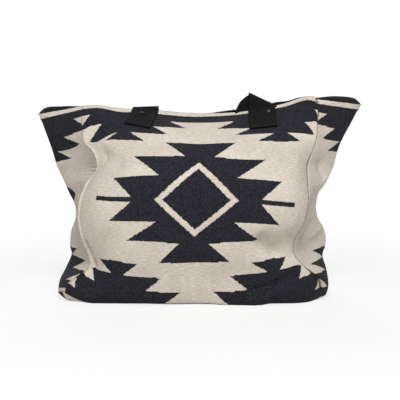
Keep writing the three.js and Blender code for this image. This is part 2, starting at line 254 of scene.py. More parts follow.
def wall_row(s, across):
    """Points of the front wall, s from the rim, for places across the cloth from -1 to 1. The cloth lies at
    its full width in the middle, and its slack is taken up towards the seams."""
    middle = smooth(FRONT_MIDDLE, s)
    seams = {side: smooth(line, s) for side, line in SEAM_LINES.items()}
    flatness = smooth(FLATNESS, s)[0]
    lifts = zip(LIFT_PLACES, middle[2] + smooth(ROW_LIFTS, s))
    heights = sorted([(-1, seams[-1][2]), *lifts, (0, middle[2]), (1, seams[1][2])])
    points = np.zeros((len(across), 3))
    points[:, 2] = smooth(heights, across)[:, 0]
    for side, seam in seams.items():
        x = middle[0] + (seam[0] - middle[0]) * ROW_SAMPLES
        y = seam[1] + (middle[1] - seam[1]) * (1 - ROW_SAMPLES ** flatness)
        length = np.concatenate([[0], np.cumsum(np.hypot(np.diff(x), np.diff(y)))])
        half = across * side >= 0
        out = np.abs(across[half])
        spread = smooth(SPREAD[side], s)[0]
        reach = HALF_WIDTH * (out + spread * out ** 2)
        slack = HALF_WIDTH * (1 + spread) - length[-1]
        steepest = LEAST_SLOPE * HALF_WIDTH * (1 + 2 * spread) / max(slack, 1)
        reach -= slack * out ** min(SLACK_POWER, steepest)
        points[half, 0] = np.interp(reach, length, x)
        points[half, 1] = np.interp(reach, length, y)
    return points


def gusset_row(side, s, across):
    """Points of that side's gusset, s from the rim, across from -1 at the front seam to 1 at the back."""
    seam = smooth(SEAM_LINES[side], s)
    fold = smooth(FOLD_LINES[side], s)
    fold_at = smooth(FOLD_AT[side], s)[0]
    off_fold = (across - fold_at) / np.where(across < fold_at, 1 + fold_at, 1 - fold_at)
    bend = np.hypot(off_fold, FOLD_ROUNDING) - FOLD_ROUNDING
    bend = bend / (math.hypot(1, FOLD_ROUNDING) - FOLD_ROUNDING)
    rises = zip(GUSSET_RISE_PLACES, (0, 0, 0, *GUSSET_RISE[side], smooth(BACK_RISE, side)[0]))
    rise = smooth(list(rises), across)[:, 0] * back_share(s)
    x = fold[0] + (seam[0] - fold[0]) * bend ** smooth(GUSSET_BULGE[side], s)[0]
    y = -seam[1] * across + smooth(FOLD_BACK[side], s)[0] * (1 - across ** 2)
    z = fold[1] + (seam[2] - fold[1]) * bend + rise
    return np.stack([x, y, z], axis=1)


def body_row(w, across):
    """Points of the body panel at w along the cloth, from the front rim under the base to the back rim.
    The base is stretched between the feet of the walls and gussets, and tucks down to the floor where they
    lift."""
    if abs(w) >= HALF_BASE:
        points = wall_row(from_rim(w), across)
        if w > 0:
            points[:, 1] *= -1
            points[:, 2] += smooth(BACK_RISE, across)[:, 0] * back_share(from_rim(w))
        return points
    front = wall_row(WALL, across)
    back = front * (1, -1, 1)
    left, right = (gusset_row(side, WALL, np.array([w / HALF_BASE]))[0] for side in (-1, 1))
    t, u = (w / HALF_BASE + 1) / 2, ((across + 1) / 2)[:, None]
    edges = left * (1 - u) + right * u + front * (1 - t) + back * t
    corners = (front[0] * (1 - t) + back[0] * t) * (1 - u) + (front[-1] * (1 - t) + back[-1] * t) * u
    points = edges - corners
    from_edge = np.minimum(HALF_BASE - abs(w), HALF_WIDTH * (1 - np.abs(across)))
    reach, bulge = (np.where(across < 0, a, b) for a, b in zip(TUCK[-1], TUCK[1]))
    tuck = np.clip(1 - from_edge / reach, 0, 1)
    outward = points * (1, 1, 0) / np.maximum(np.linalg.norm(points[:, :2], axis=1), 1)[:, None]
    points += outward * (points[:, 2] * bulge * np.sin(math.pi * tuck))[:, None]
    points[:, 2] *= tuck ** TUCK_CURVE
    return points


def lay_flat(bm, flat):
    """Keeps each vertex's place on the flat cloth as a UV map, in metres."""
    cloth_map = bm.loops.layers.uv.new("cloth")
    for face in bm.faces:
        for loop in face.loops:
            loop[cloth_map].uv = flat[loop.vert.index] * MM


def draped_sheet(columns, rows, half_width, ends, place_row, inside_out=False):
    """A cloth grid draped row by row and crowded at its side edges, and each vertex's place on the flat."""
    bm = bmesh.new()
    bmesh.ops.create_grid(bm, x_segments=columns, y_segments=rows, size=1)
    bm.verts.ensure_lookup_table()
    grid = np.array([v.co[:2] for v in bm.verts]).round(GRID_DIGITS)
    crowd = EDGE_CROWDING * math.pi / 2
    across = np.sin(grid[:, 0] * crowd) / math.sin(crowd)
    along = ends[0] + (ends[1] - ends[0]) * (grid[:, 1] + 1) / 2
    for w in np.unique(along):
        row = np.nonzero(along == w)[0]
        for index, point in zip(row, place_row(w, across[row])):
            bm.verts[index].co = Vector(point) * MM
    if inside_out:
        bmesh.ops.reverse_faces(bm, faces=bm.faces)
    flat = np.stack([across * half_width, along], axis=1)
    lay_flat(bm, flat)
    return bm, flat


# Creases and dents in the front, each from one place on the cloth to another, in millimetres across from the
# middle and down from the rim, with its half-width and how far it stands out or, below zero, sinks in
FRONT_FOLDS = [
    ((-152, 112), (-118, 117), 15, -8),
    ((100, 230), (118, 243), 13, -13),
    ((72, 297), (108, 293), 5, -4),
    ((108, 293), (142, 286), 6, -5),
    ((80, 311), (140, 302), 9, 2.5),
    ((-172, 236), (-158, 270), 7, -5),
    ((-160, 306), (-148, 312), 5, -3),
    ((-120, 20), (-112, 48), 12, -2),
]
# The hem: how deep it is turned, how far its edge stands out, and how sharply
HEM = 10.5
HEM_STEP = 0.7
HEM_SHARPNESS = 4
# The cloth's soft unevenness: how high and how wide it is, and how near the seams and the floor it dies away
SLACK = 1.3
SLACK_SIZE = 55
SEAM_REACH = 10
# How far the seam allowance lifts the cloth along a seam, or sinks it, and over what half-width: the left
# front seam stands proud as a ridge, and the others are drawn in to a crease
CLOTH_SEAMS = {"left front": (3.4, 2.6), "others": (-4.6, 1.9)}
# How near a seam the cloth moves at all, and how far sideways for each step out
SEAM_WIDTH = 14
SEAM_SIDEWAYS = 0.4
# Puckers along the seams: how high and how long they are, from where to where they reach, and how far, in
# radians, and over what length they stray
PUCKER = 0.4
PUCKER_LENGTH = 8.5
PUCKER_START = 3
PUCKER_REACH = 11
PUCKER_STRAY = 1.5
PUCKER_STRAY_LENGTH = 17


def fold_push(flat, folds):
    """How far folds push each place on the cloth out of its drape."""
    push = np.zeros(len(flat))
    for start, end, width, height in folds:
        line = np.subtract(end, start)
        t = np.clip((flat - start) @ line / max(line @ line, 1), 0, 1)
        gap = np.linalg.norm(flat - start - t[:, None] * line, axis=1)
        push += height * np.exp(-(gap / width) ** 2)
    return push


def pucker_push(gap, s, seed, height):
    """Small level ridges where a seam draws the cloth in, at a distance gap from the seam, s from the rim."""
    stray = PUCKER_STRAY * np.sin(s / PUCKER_STRAY_LENGTH + seed)
    wave = np.sin(2 * math.pi * s / PUCKER_LENGTH + stray)
    return height * wave * np.exp(-(gap / PUCKER_REACH) ** 2) * (1 - np.exp(-(gap / PUCKER_START) ** 2))


def slack_push(flat, layer):
    """The soft unevenness at each place on the cloth, from that layer of a noise."""
    return [SLACK * noise.noise(Vector((p / SLACK_SIZE, w / SLACK_SIZE, layer))) for p, w in flat]


def hem_push(s):
    """How far the doubled cloth of the hem stands out, s from the rim."""
    return HEM_STEP / (1 + np.exp(HEM_SHARPNESS * (s - HEM)))


def seam_move(gap, side, front, s, seams):
    """How far a place near a seam moves out level, half way between the two panels' own directions."""
    height, width = seams["left front" if side < 0 and front else "others"]
    fade = min(1, (WALL - s) / SEAM_REACH)
    outward = Vector((math.copysign(SEAM_SIDEWAYS, side), -1 if front else 1, 0)).normalized()
    return outward * height * fade * math.exp(-(gap / width) ** 2)


def body_cloth(columns, rows, seams, pucker):
    """The draped body panel with its folds, hems and seams."""
    bm, flat = draped_sheet(columns, rows, HALF_WIDTH, (-RIM_TO_CENTRE, RIM_TO_CENTRE), body_row, True)
    bm.normal_update()
    s = RIM_TO_CENTRE - np.abs(flat[:, 1])
    gap = HALF_WIDTH - np.abs(flat[:, 0])
    front = flat[:, 1] < 0
    inner = np.clip(gap / SEAM_REACH, 0, 1)
    push = np.where(front, fold_push(np.stack([flat[:, 0], s], axis=1), FRONT_FOLDS), 0)
    push += slack_push(flat, 0)
    push *= inner * np.clip((WALL - s) / SEAM_REACH, 0, 1)
    push += hem_push(s) * inner
    push += pucker_push(gap, s, 0, pucker) * (s < WALL)
    for v, (p, w), out, near in zip(bm.verts, flat, push, gap):
        v.co += v.normal * out * MM
        if near < SEAM_WIDTH and from_rim(w) < WALL:
            v.co += seam_move(near, p, w < 0, from_rim(w), seams) * MM
        v.co.z = max(v.co.z, 0)
    return bm


# Jacquard cotton: black and cream yarns woven in stepped blocks. Cream blocks show level slubs of weft, black
# ones a steep twill, and every outline moves by whole yarns. Yarns and twill are drawn coarser than the real
# ones, so that they show. Distances here are millimetres of flat cloth.
CREAM = "#dbd3c8"
CREAM_SHADE = "#bdb3a6"
BLACK = "#0c0b10"
BLACK_FLECK = "#3e3e48"
YARN = 1.25
TWILL = 3.2
SLUB = (7, 1.2)
FADE_SIZE = 40
FADE_SHARE = 0.35
CREAM_RANGE = (0.52, 0.86)
TWILL_SHARE = 0.8
FLECK_RANGE = (0.2, 1.5)
FLECK_MOST = 0.9
WEAVE_RELIEF = 0.6
# How ragged the outlines are, and how many turns of that there are to the millimetre
RAGGED = 1.6
RAGGED_SCALE = 0.35
# Outlines of the stepped diamonds: how far along from the pattern's centre, then how far out black reaches
TIER_LINE = 168.0
TIER_REACH = 150.0
DIAMOND_TIERS = [(0, 87.5), (29.1, 119.5), (29.3, 53.8), (58.3, 91.2), (58.5, 19.5), (87.5, 48.7), (87.7, 0),
                 (TIER_LINE, 0)]
HALF_DIAMOND_TIERS = [(0, 0), (87.5, 0), (87.7, 32), (106.9, 8.9), (107.1, 62), (126.4, 36.8), (126.6, 84.8),
                      (145.9, 61.2), (146.1, TIER_REACH), (TIER_LINE, TIER_REACH)]
# The pattern's centre along the cloth from the middle of the base, and the half diamonds' axis across it
PATTERN_CENTRE = 235
HALF_DIAMOND_AXIS = 107
# Half the length and height of the bar, of the lozenge's outside and inside, and of the gussets' lozenge
BAR = (145, 3.1)
LOZENGE = ((58.2, 48.7), (46.8, 39.2))
GUSSET_LOZENGE = (19.5, 16.7)
# Where the cream stripe starts and ends, along from the pattern's centre
STRIPE = (160.5, 168.6)
# Painted shade along a sunk seam, standing in for the shade in its crease: how far from the seam the painted
# shade is darkest, how far it reaches, and how strong it is
SEAM_SHADE = (1, 3.2)
SEAM_SHADE_SHARE = 0.65
SEAM_SHADE_COLOUR = "#3a352e"


def jacquard_cotton(name, half_diamond_axis, with_diamond, shaded_seam=None):
    """The cloth's material: half diamonds on axes that far from the middle, and what lies between them.
    Painted shade darkens the cloth towards a sunk seam, that far across it."""
    material, tree = empty_material(name)

    def node(kind, inputs, **settings):
        return add_node(tree, kind, inputs, **settings)

    def stepped(points, distance):
        share = node("Math", {0: distance, 1: TIER_LINE}, operation="DIVIDE")
        outline = node("FloatCurve", {"Value": share})
        line = outline.mapping.curves[0]
        points = [(x / TIER_LINE, y / TIER_REACH) for x, y in points]
        line.points[0].location, line.points[1].location = points[0], points[-1]
        for x, y in points[1:-1]:
            line.points.new(x, y)
        for control in line.points:
            control.handle_type = "VECTOR"
        outline.mapping.update()
        return node("Math", {0: outline, 1: TIER_REACH}, operation="MULTIPLY")

    cloth = node("UVMap", {}, uv_map="cloth")
    place = node("VectorMath", {0: cloth, "Scale": 1 / MM}, operation="SCALE")
    wander = node("TexNoise", {"Vector": place, "Scale": RAGGED_SCALE, "Detail": 1})
    wander = node("VectorMath", {0: wander.outputs["Color"], 1: (0.5, 0.5, 0.5)}, operation="SUBTRACT")
    ragged = node("VectorMath", {0: wander, 1: (RAGGED, RAGGED, 0), 2: place}, operation="MULTIPLY_ADD")
    yarns = node("VectorMath", {0: ragged, 1: (YARN, YARN, YARN)}, operation="SNAP")
    apart = node("SeparateXYZ", {0: yarns})
    out = node("Math", {0: apart.outputs["X"]}, operation="ABSOLUTE")
    row = node("Math", {0: apart.outputs["Y"]}, operation="ABSOLUTE")
    row = node("Math", {0: row, 1: PATTERN_CENTRE}, operation="SUBTRACT")
    row = node("Math", {0: row}, operation="ABSOLUTE")

    def inside_lozenge(reach):
        wide = node("Math", {0: out, 1: reach[0]}, operation="DIVIDE")
        high = node("Math", {0: row, 1: reach[1]}, operation="DIVIDE")
        both = node("Math", {0: wide, 1: high}, operation="ADD")
        return node("Math", {0: both, 1: 1}, operation="LESS_THAN")

    off_axis = node("Math", {0: out, 1: half_diamond_axis}, operation="SUBTRACT")
    off_axis = node("Math", {0: off_axis}, operation="ABSOLUTE")
    black = node("Math", {0: off_axis, 1: stepped(HALF_DIAMOND_TIERS, row)}, operation="LESS_THAN")
    if with_diamond:
        diamond = node("Math", {0: out, 1: stepped(DIAMOND_TIERS, row)}, operation="LESS_THAN")
        long_enough = node("Math", {0: out, 1: BAR[0]}, operation="LESS_THAN")
        bar = node("Math", {0: row, 1: BAR[1]}, operation="LESS_THAN")
        bar = node("Math", {0: bar, 1: long_enough}, operation="MULTIPLY")
        diamond = node("Math", {0: diamond, 1: bar}, operation="MAXIMUM")
        outside, inside = (inside_lozenge(reach) for reach in LOZENGE)
        ring = node("Math", {0: outside, 1: inside}, operation="SUBTRACT")
        diamond = node("Math", {0: diamond, 1: ring}, operation="SUBTRACT", use_clamp=True)
    else:
        diamond = inside_lozenge(GUSSET_LOZENGE)
    black = node("Math", {0: black, 1: diamond}, operation="MAXIMUM")
    above = node("Math", {0: row, 1: STRIPE[0]}, operation="GREATER_THAN")
    below = node("Math", {0: row, 1: STRIPE[1]}, operation="LESS_THAN")
    stripe = node("Math", {0: above, 1: below}, operation="MULTIPLY")
    black = node("Math", {0: black, 1: stripe}, operation="SUBTRACT", use_clamp=True)

    true_place = node("SeparateXYZ", {0: place})
    slant = node("Math", {0: true_place.outputs["X"], 1: true_place.outputs["Y"]}, operation="SUBTRACT")
    twill = node("Math", {0: slant, 1: 2 * math.pi / TWILL}, operation="MULTIPLY")
    twill = node("Math", {0: twill}, operation="SINE")
    yarn_tone = node("TexWhiteNoise", {"Vector": yarns}, noise_dimensions="3D")
    fleck = node("Math", {0: twill, 1: TWILL_SHARE, 2: yarn_tone.outputs["Value"]}, operation="MULTIPLY_ADD")
    fleck = node("MapRange", {"Value": fleck, "From Min": FLECK_RANGE[0], "From Max": FLECK_RANGE[1],
                 "To Max": FLECK_MOST})
    black_yarn = node("Mix", {"Factor": fleck, "A": linear(BLACK), "B": linear(BLACK_FLECK)},
                      data_type="RGBA")

    slub_place = node("VectorMath", {0: place, 1: (1 / SLUB[0], 1 / SLUB[1], 0)}, operation="MULTIPLY")
    slub = node("TexNoise", {"Vector": slub_place, "Scale": 1.0, "Detail": 3, "Roughness": 0.6})
    fade = node("TexNoise", {"Vector": place, "Scale": 1 / FADE_SIZE, "Detail": 2})
    cream_tone = node("Math", {0: fade, 1: FADE_SHARE, 2: slub}, operation="MULTIPLY_ADD")
    cream_tone = node("MapRange", {"Value": cream_tone, "From Min": CREAM_RANGE[0],
                      "From Max": CREAM_RANGE[1], "To Min": 1, "To Max": 0})
    cream_yarn = node("Mix", {"Factor": cream_tone, "A": linear(CREAM), "B": linear(CREAM_SHADE)},
                      data_type="RGBA")
    colour = node("Mix", {"Factor": black, "A": cream_yarn.outputs[2], "B": black_yarn.outputs[2]},
                  data_type="RGBA")
    # Painted shade: the cloth darkens towards the sunk seam, standing in for the shade in its crease
    if shaded_seam:
        gap = node("Math", {0: true_place.outputs["X"], 1: shaded_seam}, operation="SUBTRACT")
        gap = node("Math", {0: gap}, operation="ABSOLUTE")
        sunk = node("MapRange", {"Value": gap, "From Min": SEAM_SHADE[0], "From Max": SEAM_SHADE[1],
                    "To Min": SEAM_SHADE_SHARE, "To Max": 0})
        colour = node("Mix", {"Factor": sunk, "A": colour.outputs[2], "B": linear(SEAM_SHADE_COLOUR)},
                      data_type="RGBA")
    relief = node("Mix", {"Factor": black, "A": slub, "B": fleck}, data_type="FLOAT")
    weave = node("Bump", {"Height": relief, "Strength": 0.5, "Distance": WEAVE_RELIEF * MM})
    shader = node("BsdfPrincipled", {"Base Color": colour.outputs[2], "Normal": weave, "Roughness": 0.88,
                  "Specular IOR Level": 0.12, "Sheen Weight": 0.02, "Sheen Roughness": 0.6})
    node("OutputMaterial", {"Surface": shader})
    return material


# The reverse of the jacquard: where the face of the rim is cream, the yarns behind it are black, so that the
# inside of the cloth looks nearly black.
jacquard_reverse, tree = empty_material("reverse of the jacquard")
cloth = add_node(tree, "UVMap", uv_map="cloth")
tone = add_node(tree, "TexNoise", {"Vector": cloth, "Scale": 1 / (YARN * MM), "Detail": 2})
colour = add_node(tree, "Mix", {"Factor": tone, "A": linear(BLACK), "B": linear(BLACK_FLECK)},
                  data_type="RGBA")
shader = add_node(tree, "BsdfPrincipled", {"Base Color": colour.outputs[2], "Roughness": 0.9,
                  "Specular IOR Level": 0.1})
add_node(tree, "OutputMaterial", {"Surface": shader})

# The cloth is pressed thin in its seams: over what width, and to what share of its thickness
PRESSED_WIDTH = 5
PRESSED_SHARE = 0.1


def thicken(piece, thickness, offset, reverse=None, seams_at=None):
    """Gives a sheet its thickness, inwards at an offset of -1 and both ways at 0, and its reverse a material.
    It thins out towards seams that far to each side of its middle."""
    wall = piece.modifiers.new("thickness", "SOLIDIFY")
    wall.thickness = thickness * MM
    wall.offset = offset
    if reverse:
        piece.data.materials.append(reverse)
        wall.material_offset = 1
    if seams_at:
        mesh = piece.data
        loose = piece.vertex_groups.new(name="away from the seams")
        loose.add(list(range(len(mesh.vertices))), 1, "REPLACE")
        for loop, place in zip(mesh.loops, mesh.uv_layers["cloth"].data):
            gap = seams_at - abs(place.uv.x) / MM
            if gap < PRESSED_WIDTH:
                loose.add([loop.vertex_index], max(gap, 0) / PRESSED_WIDTH, "REPLACE")
        wall.vertex_group = loose.name
        wall.thickness_vertex_group = PRESSED_SHARE


# The body's right edge gets painted seam shade
body = new_object("body_panel_cloth", body_cloth(BODY_COLUMNS, BODY_ROWS, CLOTH_SEAMS, PUCKER),
                  jacquard_cotton("jacquard cotton of the body", HALF_DIAMOND_AXIS, True, HALF_WIDTH))
thicken(body, CLOTH_THICKNESS, -1, jacquard_reverse, HALF_WIDTH)
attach(body, "root")
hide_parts("body_panel")

# The gussets: two narrower strips of the same cloth that close the sides. Their seams draw in half way up, so
# that their tops spread out as wings and their feet bulge, each with a fold down its middle.
HALF_GUSSET = 77
GUSSET_COLUMNS = 64
GUSSET_ROWS = 164
# How each gusset is eased into its seams: lengths down the gusset, and down the seam from the body's rim
GUSSET_EASE = {-1: [(0, 0), (256, 254), (295, 292.5), (314, 309.5), (336, WALL)],
               1: [(0, 4), (164, 166), (230, 235), (256, 261.5), (275, 279.5), (295, 298), (328, WALL)]}
# Creases and dents of the gussets, as those of the front
GUSSET_FOLDS = {-1: [((-45, 150), (-40, 172), 9, -3), ((-40, 246), (-25, 250), 6, -3),
                     ((-38, 60), (-20, 90), 14, 2)],
                1: [((-42, 212), (-52, 232), 9, -5), ((-40, 108), (-30, 128), 9, -3),
                    ((-30, 236), (-12, 222), 5, 2)]}
# The left gusset is drawn up along part of its front seam: how far down, over what reach, how high, and how
# much wider than elsewhere
LEFT_PUCKERS = (108, 28, 2.2, 1.6)
# What sets the gussets' puckers and unevenness apart from the body's
GUSSET_SEED = 2
GUSSET_LAYER = 5


def gusset_cloth(side, columns, rows, seams, pucker):
    """The draped gusset of that side with its folds, hem and seams."""
    ease = GUSSET_EASE[side]

    def eased_row(w, across):
        return gusset_row(side, smooth(ease, from_rim(w))[0], across)

    ends = (-RIM_TO_CENTRE, ease[-1][0] - RIM_TO_CENTRE)
    bm, flat = draped_sheet(columns, rows, HALF_GUSSET, ends, eased_row, side > 0)
    bm.normal_update()
    s = smooth(ease, RIM_TO_CENTRE + flat[:, 1])[:, 0]
    gap = HALF_GUSSET - np.abs(flat[:, 0])
    inner = np.clip(gap / SEAM_REACH, 0, 1)
    push = fold_push(np.stack([flat[:, 0], s], axis=1), GUSSET_FOLDS[side])
    push += slack_push(flat, GUSSET_LAYER * side)
    push *= inner * np.clip((WALL - s) / SEAM_REACH, 0, 1)
    push += hem_push(s - s.min()) * inner
    push += pucker_push(gap, s, GUSSET_SEED, pucker)
    if side < 0 and pucker:
        middle, reach, height, widening = LEFT_PUCKERS
        drawn = np.exp(-((s - middle) / reach) ** 2) * (flat[:, 0] < 0)
        push += pucker_push(gap / widening, s, 0, height) * drawn
    for v, (g, w), out, near, down in zip(bm.verts, flat, push, gap, s):
        v.co += v.normal * out * MM
        if near < SEAM_WIDTH:
            v.co += seam_move(near, side, g < 0, down, seams) * MM
        v.co.z = max(v.co.z, 0)
    return bm


gussets = {}
# The right gusset gets painted seam shade along its front seam, the left one none
for name, side, shaded_seam in (("left_gusset", -1, None), ("right_gusset", 1, -HALF_GUSSET)):
    gusset_jacquard = jacquard_cotton("jacquard cotton of the " + name, 0, False, shaded_seam)
    cut = gusset_cloth(side, GUSSET_COLUMNS, GUSSET_ROWS, CLOTH_SEAMS, PUCKER)
    gussets[side] = gusset = new_object(name + "_cloth", cut, gusset_jacquard)
    thicken(gusset, CLOTH_THICKNESS, -1, jacquard_reverse, HALF_GUSSET)
    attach(gusset, "root")
    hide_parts(name)

# The linings: plain black cotton, cut like the cloth that they lie against. They are caught in the same seams
# and hems, and fall a little free of the outer cloth between them.
LINING_THICKNESS = 0.7
LINING_GAP = 0.4
LINING_DEPTH = CLOTH_THICKNESS + LINING_GAP
LINING_SEAMS = {"left front": (-4, 6), "others": (-8, 7.5)}
BODY_LINING_GRID = (70, 160)
GUSSET_LINING_GRID = (32, 66)
# They stand a little above the back rim, from this height up and from this far behind the middle
LINING_PEEP = 3.5
PEEP_HEIGHT = 200 * MM
PEEP_DEPTH = 5 * MM
LINING_BLACK = "#161618"
LINING_GREY = "#2a2a2d"
LINING_YARN = 0.9
LINING_WEAVE_SHARE = 0.4
LINING_WORN_SCALE = 0.2
LINING_RELIEF = 0.3

# Plain black cotton: a close over-and-under weave that looks matt and even, with a faint greying
lining_cotton, tree = empty_material("plain black cotton")
cloth = add_node(tree, "UVMap", uv_map="cloth")
place = add_node(tree, "VectorMath", {0: cloth, "Scale": 1 / (LINING_YARN * MM)}, operation="SCALE")
weave = add_node(tree, "TexChecker", {"Vector": place, "Scale": 1.0})
tone = add_node(tree, "TexNoise", {"Vector": place, "Scale": LINING_WORN_SCALE, "Detail": 3})
tone = add_node(tree, "Math", {0: weave.outputs["Fac"], 1: LINING_WEAVE_SHARE, 2: tone},
                operation="MULTIPLY_ADD")
colour = add_node(tree, "Mix", {"Factor": tone, "A": linear(LINING_BLACK), "B": linear(LINING_GREY)},
                  data_type="RGBA")
bump = add_node(tree, "Bump", {"Height": tone, "Strength": 0.3, "Distance": LINING_RELIEF * MM})
shader = add_node(tree, "BsdfPrincipled", {"Base Color": colour.outputs[2], "Normal": bump,
                  "Roughness": 0.9, "Specular IOR Level": 0.2})
add_node(tree, "OutputMaterial", {"Surface": shader})

body_cut = body_cloth(*BODY_LINING_GRID, LINING_SEAMS, 0)
left_cut, right_cut = (gusset_cloth(side, *GUSSET_LINING_GRID, LINING_SEAMS, 0) for side in (-1, 1))
for node_name, flat_size, bm in [
    ("body_lining", (2 * HALF_WIDTH, 2 * RIM_TO_CENTRE), body_cut),
    ("left_gusset_lining", (2 * HALF_GUSSET, GUSSET_EASE[-1][-1][0]), left_cut),
    ("right_gusset_lining", (2 * HALF_GUSSET, GUSSET_EASE[1][-1][0]), right_cut),
]:
    bm.normal_update()
    for v in bm.verts:
        v.co -= v.normal * LINING_DEPTH * MM
        v.co.z += LINING_PEEP * MM * min(1, max(0, v.co.y / PEEP_DEPTH)) * max(0, v.co.z / PEEP_HEIGHT - 1)
    lining = new_object(node_name + "_cloth", bm, lining_cotton)
    thicken(lining, LINING_THICKNESS, -1)
    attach(lining, "root")
    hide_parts(node_name)

# The handles: two lengths of flat black cotton webbing, each sewn to the outside of a wall at both ends.
# They turn over the rim and drop into the bag, and the right end of the front one stands up in a slanted
# fold first.
WEBBING_WIDTH = 38
WEBBING_THICKNESS = 2.4
WEBBING_COLUMNS = 12
WEBBING_ROWS = 320
ON_CLOTH = 2.4
SEWN_LENGTH = 47
SEWN_RULINGS = 6
RIM_MARGIN = 2
WEBBING_BLACK = "#0d0d0e"
WEBBING_GREY = "#1d1d1f"
WEBBING_RIB = 1.5
WEBBING_CORD = 2.4
RIB_STAGGER = 0.35
RIB_SHARE = 0.4
RELIEF_SHARE = 0.35
WORN_SCALE = 0.12
WORN_RANGE = (0.3, 1.2)
WEBBING_RELIEF = 0.5
# The turn over the rim: how far in it goes, then how far up at the outer edge and at the inner edge
RIM_TURN = [(1, 0.6, 3), (4, 1.5, 5), (8, -0.5, 3), (9.5, -10, -10)]
# Places along each handle inside the bag, from the left: the webbing's middle, then the way to its outer edge
FRONT_LOOP = [(-80, -9, 240, -18, 4, 0), (-70, -14, 190, -14, 12, -4), (-44, -22, 150, -5, 18, -3),
              (4, -25, 118, 0, 19, 0), (42, -16, 198, 9, 13, -9), (58, -10, 238, 12, 7, -12),
              (70, -8, 266, 13, 1, -14)]
BACK_LOOP = [(-78, 9, 240, -18, -4, 0), (-68, 15, 190, -14, -12, -4), (-42, 23, 150, -5, -18, -3),
             (0, 27, 118, 0, -19, 0), (42, 23, 150, 5, -18, -3), (68, 15, 190, 14, -12, -4),
             (78, 9, 240, 18, -4, 0)]
# The slanted fold of the front handle, from inside the bag to the outside: its outer, then its inner edge
SLANTED_FOLD = [(101, -12, 266, 65, -8, 288), (109.5, -17.5, 273, 70.3, -9.5, 292),
                (110.3, -21, 275, 70.3, -13.5, 293.8), (110.5, -24, 273.5, 71, -17, 290)]


def on_wall(p, s, lift, back):
    """A place on the front or back wall, p across the cloth and s from the rim, that far off the cloth."""
    def drape(p, s):
        w = s - RIM_TO_CENTRE
        return body_row(-w if back else w, np.array([p / HALF_WIDTH]))[0]
    here = drape(p, s)
    outward = np.cross(drape(p, s + 1) - here, drape(p + 1, s) - here) * (-1 if back else 1)
    return here + outward / np.linalg.norm(outward) * lift


def sewn_end(low, high, skew, back):
    """Rulings up a sewn end of webbing, each an outer and an inner edge, from its cut end to the rim. Its
    middle runs from low to high across the cloth, and skew turns the cut end."""
    rulings = []
    for share in np.linspace(0, 1, SEWN_RULINGS):
        p = low + (high - low) * share
        out = math.copysign(WEBBING_WIDTH / 2, p)
        s = SEWN_LENGTH + (RIM_MARGIN - SEWN_LENGTH) * share
        turn = skew * (1 - share)
        outer = on_wall(p + out, s - turn, ON_CLOTH, back)
        inner = on_wall(p - out, s + turn, ON_CLOTH, back)
        rulings.append([*outer, *inner])
    return rulings


def rim_turn(ruling, back):
    """Rulings that carry webbing on over the rim and down inside."""
    inwards = -1 if back else 1
    return [np.add(ruling, (0, inwards * far, outer, 0, inwards * far, inner))
            for far, outer, inner in RIM_TURN]


def loop_rulings(loop):
    """Rulings at places along the loop inside the bag."""
    return [[x + a, y + b, z + c, x - a, y - b, z - c] for x, y, z, a, b, c in loop]


def lengths_along(points):
    """The length of a line of points, from its start to each of them."""
    return np.concatenate([[0], np.cumsum(np.linalg.norm(np.diff(points, axis=0), axis=1))])


def webbing_ribbon(name, rulings, material):
    """Webbing on a smooth ribbon through rulings, with its own flat place as a UV map."""
    rulings = np.array(rulings)
    length = lengths_along((rulings[:, :3] + rulings[:, 3:]) / 2)
    bm = bmesh.new()
    bmesh.ops.create_grid(bm, x_segments=WEBBING_COLUMNS, y_segments=WEBBING_ROWS, size=1)
    bm.verts.ensure_lookup_table()
    grid = np.array([v.co[:2] for v in bm.verts])
    along = (grid[:, 1] + 1) / 2 * length[-1]
    edges = smooth(np.column_stack([length, rulings]), along)
    share = (grid[:, :1] + 1) / 2
    for v, point in zip(bm.verts, edges[:, :3] * (1 - share) + edges[:, 3:] * share):
        v.co = Vector(point) * MM
    lay_flat(bm, np.stack([grid[:, 0] * WEBBING_WIDTH / 2, along], axis=1))
    ribbon = new_object(name, bm, material)
    thicken(ribbon, WEBBING_THICKNESS, 0)
    return ribbon


# Cotton webbing: thick black cords side by side, bound by a close weft. It gives fine ribs across the strap
# on soft ridges along it, nearly matt, with a slight worn greying.
cotton_webbing, tree = empty_material("black cotton webbing")
cloth = add_node(tree, "UVMap", uv_map="cloth")
place = add_node(tree, "VectorMath", {0: cloth, "Scale": 1 / MM}, operation="SCALE")
apart = add_node(tree, "SeparateXYZ", {0: place})
cords = add_node(tree, "Math", {0: apart.outputs["X"], 1: math.pi / WEBBING_CORD}, operation="MULTIPLY")
cords = add_node(tree, "Math", {0: cords}, operation="SINE")
cords = add_node(tree, "Math", {0: cords}, operation="ABSOLUTE")
offset = add_node(tree, "Math", {0: apart.outputs["X"], 1: WEBBING_CORD}, operation="SNAP")
ribs = add_node(tree, "Math", {0: offset, 1: RIB_STAGGER, 2: apart.outputs["Y"]}, operation="MULTIPLY_ADD")
ribs = add_node(tree, "Math", {0: ribs, 1: 2 * math.pi / WEBBING_RIB}, operation="MULTIPLY")
ribs = add_node(tree, "Math", {0: ribs}, operation="SINE")
relief = add_node(tree, "Math", {0: ribs, 1: RIB_SHARE, 2: cords}, operation="MULTIPLY_ADD")
wear = add_node(tree, "TexNoise", {"Vector": place, "Scale": WORN_SCALE, "Detail": 4})
tone = add_node(tree, "Math", {0: relief, 1: RELIEF_SHARE, 2: wear}, operation="MULTIPLY_ADD")
tone = add_node(tree, "MapRange", {"Value": tone, "From Min": WORN_RANGE[0], "From Max": WORN_RANGE[1]})
colour = add_node(tree, "Mix", {"Factor": tone, "A": linear(WEBBING_BLACK), "B": linear(WEBBING_GREY)},
                  data_type="RGBA")
bump = add_node(tree, "Bump", {"Height": relief, "Strength": 0.45, "Distance": WEBBING_RELIEF * MM})
shader = add_node(tree, "BsdfPrincipled", {"Base Color": colour.outputs[2], "Normal": bump,
                  "Roughness": 0.9, "Specular IOR Level": 0.1})
add_node(tree, "OutputMaterial", {"Surface": shader})

